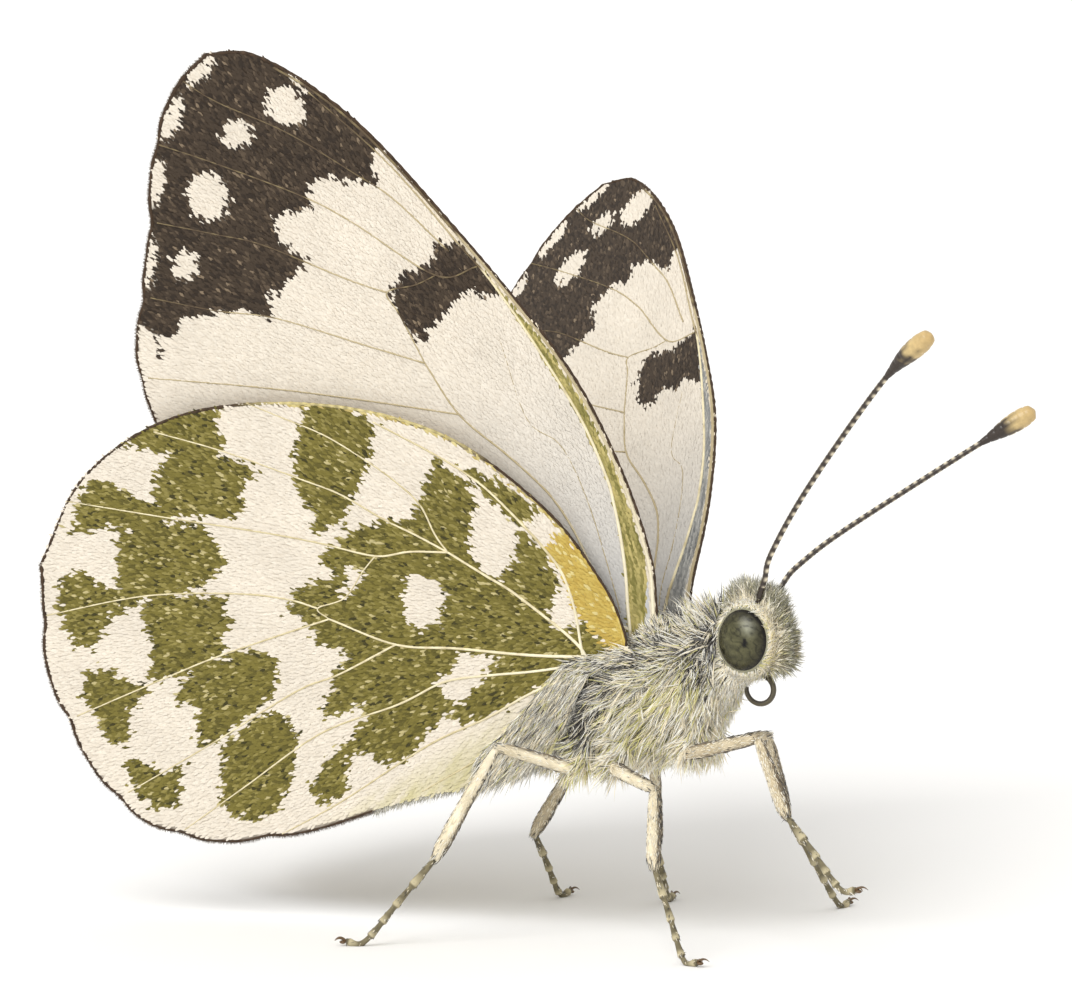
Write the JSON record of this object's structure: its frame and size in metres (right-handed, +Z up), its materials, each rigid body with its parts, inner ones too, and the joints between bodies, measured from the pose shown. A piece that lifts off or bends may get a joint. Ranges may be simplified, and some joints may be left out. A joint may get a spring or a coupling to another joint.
{
  "type": "bath white butterfly",
  "caption": "Life-size still model of a white butterfly with green-mottled hindwings, standing with its wings half raised.",
  "frame": {"origin": "on the floor, under the middle of the bounding box", "axes": "+X the way the butterfly faces, +Y to its left, +Z up from the floor"},
  "size_m": [0.0314, 0.0258, 0.0294],
  "materials": {
    "wing": "matt overlapping scales, cream with olive and umber marks",
    "fur": "long silky hair, grey, cream and pale green",
    "leg": "flat cream scales over brown",
    "horn": "satin dark horn",
    "eye": "glossy olive compound eye"
  },
  "bodies": {
    "root": {"head": "fur", "thorax": "fur", "abdomen": "fur", "palp_right": "fur", "palp_left": "fur", "eye_right": "eye", "eye_left": "eye", "proboscis": "horn", "antenna_right": "horn", "antenna_left": "horn", "forewing_right": "wing", "forewing_left": "wing", "hindwing_right": "wing", "hindwing_left": "wing", "femur_right_front": "leg", "femur_right_mid": "leg", "femur_right_hind": "leg", "femur_left_front": "leg", "femur_left_mid": "leg", "femur_left_hind": "leg", "tibia_right_front": "leg", "tibia_right_mid": "leg", "tibia_right_hind": "leg", "tibia_left_front": "leg", "tibia_left_mid": "leg", "tibia_left_hind": "leg", "tarsus_right_front": "leg", "tarsus_right_mid": "leg", "tarsus_right_hind": "leg", "tarsus_left_front": "leg", "tarsus_left_mid": "leg", "tarsus_left_hind": "leg"}
  },
  "joints": []
}
